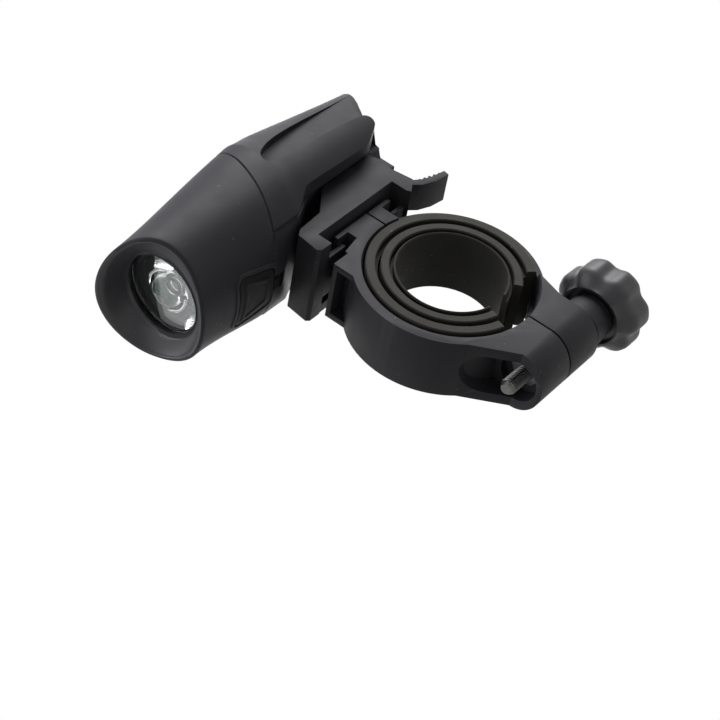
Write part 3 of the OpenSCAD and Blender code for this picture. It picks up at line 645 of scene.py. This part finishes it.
def upperHalf(x):  # half width of the skin over the scoop
    if x > body['noseX']:
        t = (x - body['noseX']) / (seamX - body['noseX'])
        return body['noseHalf'] + (body['seamHalf'] - body['noseHalf']) * t
    t = max((x - body['tailX']) / (body['noseX'] - body['tailX']), 0)
    return body['tailHalf'] + (body['noseHalf'] - body['tailHalf']) * t ** 1.35


def lowerHalf(x):  # half width of the spine inside the scoop
    if x > body['noseX']:
        return upperHalf(x)
    u = min((body['noseX'] - x) / (body['noseX'] - body['tailX']), 1)
    return body['noseHalf'] + (body['tailHalf'] - body['noseHalf']) * u ** 0.35


def wingHalf(x):
    return body['seamHalf'] - 0.0011 * min(x - body['noseX'], 0) ** 2


def tailArc(x):  # half height of the wing's round tail
    return math.sqrt(max(body['wingTailR'] ** 2 - (x - body['wingTailX']) ** 2, 0))


def scoopOpen(x):  # how far the scoop's rounded front end has opened, 0 to 1
    u = min(max((body['noseX'] - x) / body['scoopRound'], 0), 1)
    return math.sqrt(1 - (1 - u) ** 2)


def wingUpper(x):
    if x < body['wingTailX']:
        return body['wingTailZ'] + tailArc(x)
    z = -1.6 + 1.6 * (x / 12.5) ** 2 if x > 0 else -1.6 - 1.2 * (x / body['wingTailX']) ** 2
    return body['scoopTip'] - 0.05 + (z - body['scoopTip']) * scoopOpen(x)


def wingLower(x):
    if x < body['wingTailX'] - 1:
        return body['wingTailZ'] - tailArc(x)
    rise = max((-13 - x) / 5.85, 0)
    return body['wingLow'] - 0.1 + 2.6 * rise ** 1.25


def slitEdge(x):  # lower edge of the skin over the scoop
    z = 3.3 + 7.6 * (1 - math.exp(-max(body['noseX'] - x, 0) / 13))
    return body['scoopTip'] + 0.05 + (z - body['scoopTip']) * scoopOpen(x)


def leanAt(x):
    start = body['leanStart']
    return head['seam'][1] * (x - start) / (seamX - start) if x > start else 0.0


def underCut(x, z0, x0):  # the sloping front wall of the shoe's room
    return z0 + (body['cutLow'] - z0) * max((x - x0) / (body['cutEnd'] - x0), 0)


def between(a, b, count):  # points from a up to but not including b, with one close to each end
    length = (Vector(a) - Vector(b)).length
    s = min(body['edge'] / length, 0.2) if length > 1e-6 else 0.2
    steps = [0, s] + [s + (1 - 2 * s) * i / (count - 2) for i in range(1, count - 1)]
    return [tuple(mix(a, b, t)) for t in steps[:count]]


def bodySection(x):
    lean = leanAt(x)
    half, low, top = upperHalf(x), lowerHalf(x), spineTop(x)
    tail = body['wingTailX'] - body['wingTailR']
    deep = 1 - blendIn(x, 11.0, body['noseX'])  # how deep the scoop is
    zEdge = slitEdge(x)
    zWing = wingUpper(x) if x > tail else body['wingTailZ'] + 0.05
    outer = wingHalf(x) + (half - wingHalf(x)) * blendIn(x, 8, body['noseX'])
    inner = outer - body['wingThick']
    zLow = wingLower(x) if x > tail else body['wingTailZ'] - 0.05
    zFloor = zWing + (min(max(body['webTop'], zLow + 0.9), zWing) - zWing) * deep
    zCut = underCut(x + lean * -12, -body['underDrop'], body['cutStart'])
    zCutWing = underCut(x + lean * -12, body['wingLow'], body['cutWingStart'])
    if x > 0:
        zLow = max(zCutWing, skinBottom(13.2, half))
    floorY = skinY(zFloor, low, top)
    edgeY = skinY(zEdge, half, top)
    points = []
    last = math.asin(min((zEdge / top) ** (squareness / 2), 1))
    turns = [math.pi / 2 + (last - math.pi / 2) * t for t in
             (0, 0.08, 0.16, 0.24, 0.32, 0.4, 0.48, 0.56, 0.64, 0.72, 0.8, 0.87, 0.93, 0.975)]
    for turn in turns:
        points.append((half * power(math.cos(turn), 2 / squareness),
                       top * power(math.sin(turn), 2 / squareness)))
    if x > body['noseX']:  # closed skin in front of the scoop
        for t in [i / 17 for i in range(17)]:
            z = zEdge + (zWing - zEdge) * t
            points.append((skinY(z, half, top), z))
    else:
        roofY = skinY(zEdge, low, top)
        wall = [(skinY(zEdge + (zFloor - zEdge) * t, low, top), zEdge + (zFloor - zEdge) * t)
                for t in (0.06, 0.25, 0.5, 0.75, 0.94)]
        points += between((edgeY, zEdge), (roofY, zEdge), 3) + wall
        floorEnd = max(inner, floorY + 0.25)
        if x > tail:
            topIn = (floorEnd, zWing)
            topOut = (max(skinY(zWing, outer, body['wingTop']), floorEnd + 0.3), zWing)
            points += between((floorY, zFloor), (floorEnd, zFloor), 3)
            points += between((floorEnd, zFloor), topIn, 3) + between(topIn, topOut, 3)
        else:
            for t in [i / 9 for i in range(9)]:
                z = body['wingTailZ'] + 0.15 - 0.2 * t
                points.append((skinY(z, low, top), z))
    sideZ = -body['underDrop']
    footY = skinY(sideZ, low, top)
    if x > tail:
        lowY = skinY(zLow, outer, body['wingTop'])
        for t in (0, 0.05, 0.18, 0.36, 0.55, 0.75, 0.92, 0.98):
            z = zWing + (zLow - zWing) * t
            wide, tall = (half, top) if x > body['noseX'] else (outer, body['wingTop'])
            y = skinY(z, wide, tall)
            points.append((max(y, points[-1][0]) if t == 0 else y, z))
        wallY = skinY(zLow, low, top)
        share = 1 - blendIn(zLow, -8.9, -7.3)
        stepY = wallY + (body['channelHalf'] - wallY) * share
        footY += (body['channelHalf'] - footY) * share
        flatZ = max(zCut, skinBottom(12.4, half)) if x > 0 else sideZ
        lowEnd = max(zLow, skinBottom(12.8, half)) if x > 0 else zLow
        points += between((lowY, zLow), (stepY, lowEnd), 3) + between((stepY, lowEnd), (footY, flatZ), 3)
    else:
        for t in [i / 13 for i in range(13)]:
            z = body['wingTailZ'] - 0.05 + (sideZ - body['wingTailZ'] + 0.05) * t
            points.append((skinY(z, low, top), z))
        points.append((footY - 0.02, sideZ))
    for t in (0, 0.04, 0.25, 0.5, 0.75):
        y = footY * (1 - t)
        z = max(zCut, skinBottom(y, half)) if x > 0 else sideZ
        points.append((y, z))
    points.append((0, max(zCut, -body['bottom']) if x > 0 else sideZ))
    ring = [(x + lean * z, y, z + beamHeight) for y, z in points]
    ring += [(x + lean * z, -y, z + beamHeight) for y, z in reversed(points[1:-1])]
    return ring


stations = [seamX - groove, 18.6, 17, 15.4, 14.2, 13.55, 13.3, 12.9, 12.2, 11.2, 10, 8.6, 7, 5, 2.5, 0, -2.5,
            -5, -7.5, -10, -12.5, -14, -15.5, -16.8, -17.85, -18.6, -19.1, -19.45, -19.7, -19.82, -19.95,
            -20.5, -22, -24.5, -27, -29.5, -32, -34.8]
rings = [bodySection(x) for x in stations]


def rearFace(y, z):  # the raked end of the tail, bowed forward at its sides
    plane = max(body['rakeX'] - body['rake'] * (z - beamHeight), body['tailX'])
    bow = body['rakeBow'] * max(beamHeight + 12 - z, 0) * (y / 10) ** 2
    return min(plane + bow, body['rakeStart'] - 0.3)


def raked(x, index):  # a point of the section at x, moved so that the tail ends in that face
    share = (body['rakeStart'] - x) / (body['rakeStart'] - body['tailX'])
    point = bodySection(x)[index]
    for step in range(4):
        moved = body['rakeStart'] + (rearFace(point[1], point[2]) - body['rakeStart']) * share
        point = bodySection(moved)[index]
    return (moved, point[1], point[2])


for row, x in enumerate(stations):
    if x < body['rakeStart']:
        rings[row] = [raked(x, i) for i in range(len(rings[row]))]
tailMiddle = beamHeight + 3.5
tailRings = []
for turn in (30, 60, 90):
    a = math.radians(turn)
    keep = 1 - body['tailRound'] * (1 - math.cos(a)) / body['tailHalf']
    ring = [raked(stations[-1] - body['tailRound'] * math.sin(a), i) for i in range(len(rings[0]))]
    tailRings.append([(x, y * keep, tailMiddle + (z - tailMiddle) * keep) for x, y, z in ring])
for keep in (0.9, 0.7, 0.5, 0.3, 0.1, 0.02):
    ring = []
    for x, y, z in tailRings[2]:
        up = tailMiddle + (z - tailMiddle) * keep
        ring.append((rearFace(y * keep, up), y * keep, up))
    tailRings.append(ring)
seamTurns = []
for x, y, z in rings[0]:
    up = z - beamHeight
    tall = body['seamTop'] if up > 0 else body['bottom']
    rise = power(min(abs(up) / tall, 1), squareness / 2) * (1 if up > 0 else -1)
    reach = power(min(abs(y) / body['seamHalf'], 1), squareness / 2) * (1 if y > 0 else -1)
    seamTurns.append(math.atan2(rise, reach))
gap, spigotEnd = body['spigotGap'], headSection(body['spigotX'])
front = [oval(head['seam'], -groove, seamTurns), oval(head['seam'], -gap, seamTurns),
         oval(headSection(body['spigotX'] - 0.2), -gap, seamTurns), oval(spigotEnd, -gap - 0.15, seamTurns),
         oval(spigotEnd, -body['spigotIn'], seamTurns), oval(head['seam'], -body['spigotIn'], seamTurns)]
room = []
for x in (10, -10, -19):
    section = (x, leanAt(x), lowerHalf(x), spineTop(x), body['bottom'], 0, squareness)
    ring = oval(section, -body['wall'], seamTurns)
    room.append([(p[0], p[1], max(p[2], beamHeight - 6.0)) for p in ring])
bodyShell = wrapGrid('bodyShell', list(reversed(room)) + list(reversed(front)) + rings + tailRings)
buttonRoom = lathe('buttonRoom', [(beamHeight + 10, 4.5), (beamHeight + 22, 4.5)], 'Z', 64, (2, 0, 0))
cutWith(bodyShell, buttonRoom)
tabNotch = addBox('tabNotch', (22, -2.3, 28.0), (27, 2.3, 31.85))
cutWith(bodyShell, tabNotch)
smooth(bodyShell, 38)
rail = dict(railHead=((-14.3, -7.2, 31.5), (4.1, 7.2, 34.7), 0.35),
            railNeck=((-14.3, -4.8, 33.0), (4.1, 4.8, 38.2), 0.2),
            catchStop=((-26.7, -1.8, 36.3), (-24.5, 1.8, 44.7), 0.3))
railParts = [addBox(name, *shape) for name, shape in rail.items()]
for part in railParts:
    smooth(part, 40)
joinInto(bodyShell, railParts)
dress(bodyShell, satinAbs, 'light', 'satin_abs', 'body_shell')
print('body shell done')

# Power button: a domed rubber key with a finger dish and a foot that keeps it in
key = dict(radius=4.2, foot=5.6, low=14.8, high=19.6)
low, high, foot, rim = key['low'], key['high'], key['foot'], key['radius']
powerButton = lathe('powerButton', [(beamHeight + z, r) for z, r in (
    (low, 0.05), (low, foot), (low + 0.8, foot), (low + 0.8, rim), (high - 0.6, rim),
    (high - 0.3, rim - 0.1), (high - 0.08, rim - 0.35), (high, rim - 0.7), (high - 0.02, 2.9),
    (high - 0.25, 2.5), (high - 0.32, 1.5), (high - 0.32, 0.05))], 'Z', 64, (2, 0, 0))
smooth(powerButton, 40)
dress(powerButton, coverRubber, 'button', 'black_rubber', 'power_button')

# Optics from the bezel back: gasket, clear front lens, collimator, black holder, LED on its board
optics = dict(gasket=(46.1, 46.6, 10.2, 11.15), lens=(44.5, 46.1, 11.15), flange=(43.5, 44.45, 10.9),
              holder=(37.25, 43.45, 9.7, 11.15), board=(35.6, 37.2, 11.15))
back, face, bore, rim = optics['gasket']
lensGasket = lathe('lensGasket', [(x, r) for x, r in (
    (back, bore), (back, rim - 0.1), (back + 0.1, rim), (face - 0.1, rim),
    (face, rim - 0.1), (face, bore + 0.12), (face - 0.12, bore), (back, bore))])
smooth(lensGasket, 40)
dress(lensGasket, coverRubber, 'light', 'black_rubber', 'lens_gasket')
back, face, rim = optics['lens']
frontLens = lathe('frontLens', [
    (back, 0.02), (back, 4), (back, rim - 0.2), (back + 0.2, rim), (face - 0.3, rim),
    (face - 0.08, rim - 0.2), (face, rim - 0.5), (face, rim - 0.6), (face, 6), (face, 3), (face, 0.02)])
smooth(frontLens, 30)
dress(frontLens, clearPolycarbonate, 'light', 'clear_plastic', 'front_lens')
back, face, rim = optics['flange']
foot = optics['board'][1] + 1.1
cone = [(back, 6.0)]
for i in range(1, 9):  # curved side that throws the light forwards
    t = i / 8
    cone.append((back + (foot - back) * t, 6.0 - 3.0 * t ** 1.5))
well = [(foot, 2.2), (foot + 2.4, 2.15), (foot + 2.8, 1.9), (foot + 3.05, 1.3), (foot + 3.15, 0.7),
        (foot + 3.2, 0.02)]
collimator = lathe('collimator', [
    (face, 0.02), (face, 5.6), (face, rim - 0.15), (face - 0.15, rim), (back + 0.1, rim),
    (back, rim - 0.1), (back, 6.2)] + cone + well)
smooth(collimator, 35)
dress(collimator, clearAcrylic, 'light', 'clear_plastic', 'collimator')
back, face, bore, rim = optics['holder']
opticHolder = lathe('opticHolder', [
    (back, bore), (back, rim), (face - 0.2, rim), (face, rim - 0.2), (face, bore + 0.5), (face - 0.5, bore),
    (face - 2, bore), (face - 2.1, bore + 0.15), (face - 2.4, bore + 0.15), (face - 2.5, bore), (back, bore)])
smooth(opticHolder, 30)
dress(opticHolder, satinAbs, 'light', 'satin_abs', 'optic_holder')
back, face, rim = optics['board']
ledBoard = lathe('ledBoard', [(back, 0.02), (back, rim), (face, rim), (face, 0.02)])
bevel(ledBoard, 0.1)
smooth(ledBoard, 30)
dress(ledBoard, solderMask, 'light', 'circuit_board', 'led_board')
# Small parts on the board: y, z, width, height, thickness and finish
boardParts = [(6.2, -3.4, 1.6, 0.8, 0.7, ceramicCap), (5.2, 4.6, 0.9, 1.5, 0.5, switchPlastic),
              (-6.0, 3.4, 1.2, 1.2, 0.6, ledCeramic), (7.6, 0.6, 0.8, 1.4, 0.4, brightSolder),
              (-6.8, -2.6, 0.9, 1.3, 0.35, brightSolder), (3.4, -7.2, 1.4, 0.9, 0.6, ceramicCap)]
for i, (y, z, wide, tall, high, finish) in enumerate(boardParts):
    chip = addBox('boardPart%d' % i, (face - 0.02, y - wide / 2, beamHeight + z - tall / 2),
                  (face + high, y + wide / 2, beamHeight + z + tall / 2), 0.12, 2)
    smooth(chip, 40)
    dress(chip, finish, 'light', 'circuit_board')
bead = [(face + x, r) for x, r in ((-0.05, 0.02), (-0.05, 1.0), (0.12, 0.95), (0.35, 0.6), (0.42, 0.02))]
for i, side in enumerate((-1, 1)):
    pad = lathe('solderPad%d' % i, bead, 'X', 24, (0, side * 4.6, beamHeight - side * 5.6))
    smooth(pad, 50)
    dress(pad, brightSolder, 'light', 'circuit_board')
emitterBase = addBox('emitterBase', (face, -1.7, beamHeight - 1.7), (face + 0.7, 1.7, beamHeight + 1.7), 0.15)
smooth(emitterBase, 40)
dress(emitterBase, ledCeramic, 'light', 'led_phosphor', 'led_emitter')
emitterDie = addBox('emitterDie', (face + 0.68, -0.75, beamHeight - 0.75),
                    (face + 0.86, 0.75, beamHeight + 0.75), 0.05, 2)
dress(emitterDie, ledPhosphor, 'light', 'led_phosphor')
arc = [math.radians(d) for d in range(0, 90, 10)]
dome = [(face + 0.86 + 1.4 * math.sin(a), 1.4 * math.cos(a)) for a in arc]
emitterDome = lathe('emitterDome', [(face + 0.72, 0.02), (face + 0.72, 1.4)] + dome + [(face + 2.26, 0.02)],
                    'X', 48)
smooth(emitterDome, 40)
dress(emitterDome, clearAcrylic, 'light', 'led_phosphor')
for piece in (lensGasket, frontLens, collimator, opticHolder, ledBoard, emitterDome):
    piece.data.transform(Matrix.Translation((0, 0, beamHeight * mm)))
print('optics done')

# Clamp halves, shoe and tongue: the moulded forms with their edges eased
for node, name, rideOn, edge in (
    ('bracket_shoe', 'bracketShoe', 'bracket', 0.4), ('release_tongue', 'releaseTongue', 'tongue', 0.25),
    ('clamp_front_half', 'clampFrontHalf', 'bracket', 0.4),
    ('clamp_rear_half', 'clampRearHalf', 'rear_half', 0.4)):
    piece = copyNode(node, name)
    bevel(piece, edge, 3, angle_limit=math.radians(32), use_clamp_overlap=True)
    smooth(piece, 40)
    dress(piece, glassNylon, rideOn, 'matt_nylon', node)
print('clamp done')

# Rubber shims: slit bands with soft edges, open under the bar. Each is inner and outer radius, relief inside
# and outside, and the degrees from straight down to its rear and front end
shims = dict(outer=(17.0, 20.1, 0.7, 0, 47, 17), middle=(14.45, 16.55, 0, 0, 30, 14),
             inner=(13.0, 14.3, 0, 0.7, 12, 12))
shimHalf, shimStep = 8.65, 2.0
for shimName, (rIn, rOut, inRelief, outRelief, rearEnd, frontEnd) in shims.items():
    w, d, e = shimHalf, shimStep, 0.25
    bore, skin = rIn + inRelief, rOut - outRelief
    outline = [(bore, -w + e), (bore + e, -w), (skin - e, -w), (skin, -w + e), (skin, d - w - 0.1),
               (rOut, d - w), (rOut, w - d), (skin, w - d + 0.1), (skin, w - e), (skin - e, w),
               (bore + e, w), (bore, w - e), (bore, w - d + 0.1), (rIn, w - d), (rIn, d - w),
               (bore, d - w - 0.1)]
    rings = []
    for step in range(97):  # from the front end up over the bar to the rear end
        a = math.radians(-90 + frontEnd + (360 - frontEnd - rearEnd) * step / 96)
        rings.append([(r * math.cos(a), y, r * math.sin(a)) for r, y in outline])
    shim = wrapGrid(shimName + 'Shim', rings)
    smooth(shim, 35)
    dress(shim, mouldedRubber, 'bracket', 'black_rubber', shimName + '_shim')
print('shims done')

# Clamp screw: M4 with a rolled thread, its hex head held in the knob
screw = dict(radius=2.0, root=1.62, pitch=0.7, tip=13.8, threadEnd=-8.0, headX=-24.6, headThick=2.8,
             acrossFlats=7.0, shank=1.98, tipR=1.2)
turns = int((screw['tip'] - 0.4 - screw['threadEnd']) / screw['pitch'])
steps = 32
profile = ((0.0, screw['root']), (0.18, screw['root']), (0.44, screw['radius'] - 0.03),
           (0.54, screw['radius'] - 0.03))


def screwRing(x, radius):
    around = [2 * math.pi * s / steps for s in range(steps)]
    return [(x, radius * math.cos(a), radius * math.sin(a)) for a in around]


rings = [screwRing(screw['headX'], screw['shank']), screwRing(screw['threadEnd'] - 0.3, screw['shank'])]
for turn in range(turns):
    for along, radius in profile:
        ring = []
        for s in range(steps):
            a = 2 * math.pi * s / steps
            x = screw['threadEnd'] + (turn + s / steps) * screw['pitch'] + along
            fade = blendIn(x, screw['threadEnd'] - 0.2, screw['threadEnd'] + 1.5)
            end = 1 - 0.25 * blendIn(x, screw['tip'] - 1.3, screw['tip'] - 0.2)
            r = (screw['radius'] - 0.03 + (radius - screw['radius'] + 0.03) * fade) * end
            ring.append((min(x, screw['tip'] - 0.05), r * math.cos(a), r * math.sin(a)))
        rings.append(ring)
rings.append(screwRing(screw['tip'], screw['tipR']))
clampScrew = wrapGrid('clampScrew', rings)
hexR = screw['acrossFlats'] / 2 / math.cos(math.pi / 6)
hexX = screw['headX'] - screw['headThick'] / 2
restart()
bpy.ops.mesh.primitive_cylinder_add(vertices=6, radius=hexR * mm, depth=screw['headThick'] * mm,
                                    location=(hexX * mm, 0, 0), rotation=(0, math.pi / 2, 0))
screwHead = nameNew('screwHead')
bpy.ops.object.transform_apply(location=True, rotation=True, scale=True)
bevel(screwHead, 0.3)
smooth(screwHead, 30)
smooth(clampScrew, 40)
joinInto(clampScrew, [screwHead])
clampScrew.data.transform(Matrix.Translation((0, 0, screwHeight * mm)))
dress(clampScrew, zincSteel, 'knob', 'zinc_steel', 'clamp_screw')

# Knob collar: a tapered sleeve with a fine line at each end
collar = dict(front=-13.2, length=8.1, frontR=6.2, rearR=5.7, bore=2.3)
front, back = collar['front'], collar['front'] - collar['length']
frontR, rearR, bore = collar['frontR'], collar['rearR'], collar['bore']
knobCollar = lathe('knobCollar', [
    (front, bore), (front, frontR - 0.25), (front - 0.1, frontR - 0.08), (front - 0.3, frontR),
    (front - 1.1, frontR - 0.04), (front - 1.2, frontR - 0.2), (front - 1.35, frontR - 0.2),
    (front - 1.45, frontR - 0.06), (back + 1.2, rearR + 0.06), (back + 1.1, rearR - 0.12),
    (back + 0.95, rearR - 0.12), (back + 0.85, rearR + 0.04), (back + 0.25, rearR), (back, rearR - 0.25),
    (back, bore), (front, bore)])
knobCollar.data.transform(Matrix.Translation((0, 0, screwHeight * mm)))
smooth(knobCollar, 30)
dress(knobCollar, glassNylon, 'collar', 'matt_nylon', 'knob_collar')

# Clamp knob: seven rounded lobes, a cup towards the collar and a round seat for the screw's hex head
knob = dict(front=-20.1, thick=9.6, radius=11.2, lobes=7, scallop=0.30, scallopOut=2.0, coreR=5.2,
            cupDeep=1.5, boltR=2.05, seatDeep=4.9, seatR=4.15, around=168)


def knobRing(along, size):  # lobed outline: scallops cut into a round, with their corners rolled over
    ring = []
    for step in range(knob['around']):
        a = 2 * math.pi * step / knob['around']
        local = (a * knob['lobes'] / (2 * math.pi) - 0.05) % 1.0
        off = (local if local < 0.5 else local - 1) * 2 * math.pi / knob['lobes']
        c = knob['radius'] + knob['scallopOut']
        r0 = knob['scallop'] * knob['radius']
        under = r0 ** 2 - (c * math.sin(off)) ** 2
        r = knob['radius']
        if under > 0:
            r = min(r, c * math.cos(off) - math.sqrt(under))
        ring.append(r)
    count = len(ring)
    for blur in range(3):
        ring = [(ring[i - 2] + 2 * ring[i - 1] + 3 * ring[i]
                 + 2 * ring[(i + 1) % count] + ring[(i + 2) % count]) / 9 for i in range(count)]
    out = []
    for step, r in enumerate(ring):
        a = 2 * math.pi * step / knob['around']
        even = knob['coreR'] + (r - knob['coreR']) * size
        out.append((knob['front'] - along, even * math.cos(a), even * math.sin(a)))
    return out


def roundRing(along, r):
    around = [2 * math.pi * s / knob['around'] for s in range(knob['around'])]
    return [(knob['front'] - along, r * math.cos(a), r * math.sin(a)) for a in around]


t = knob['thick']
knobRings = [roundRing(t - knob['seatDeep'], knob['boltR']), roundRing(knob['cupDeep'], knob['boltR'])]
for along, r in ((knob['cupDeep'], 6.85), (0.3, 7.15), (0.05, 7.3), (0.0, 7.5), (0.05, 7.8)):
    knobRings.append(roundRing(along, r))
for along, size in ((1.2, 0.62), (2.0, 0.84), (2.6, 0.92), (3.1, 0.97), (3.7, 0.995), (4.6, 1.0), (6.2, 1.0),
                    (7.6, 0.995), (8.3, 0.97), (8.9, 0.91), (9.3, 0.83), (9.52, 0.74), (9.6, 0.62),
                    (9.6, 0.2)):
    knobRings.append(knobRing(along, size))
knobRings += [roundRing(t, knob['seatR'] + 0.25), roundRing(t - 0.25, knob['seatR']),
              roundRing(t - knob['seatDeep'], knob['seatR'])]
knobRings.append(knobRings[0])
clampKnob = wrapGrid('clampKnob', knobRings)
clampKnob.data.transform(Matrix.Translation((0, 0, screwHeight * mm)))
smooth(clampKnob, 40)
dress(clampKnob, handledNylon, 'knob', 'matt_nylon', 'clamp_knob')
print('screw and knob done')

# Pieces inside keep their CAD shape and get their finish
inside = dict(seam_seal=coverRubber, heat_spreader=turnedAluminium, control_board=solderMask,
              mode_switch=switchPlastic, charge_board=solderMask, usb_port=zincSteel, battery_cell=cellCan,
              clamp_nut=zincSteel)
for node, finish in inside.items():
    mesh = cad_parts[node].data
    mesh.materials.clear()
    mesh.materials.append(finish)
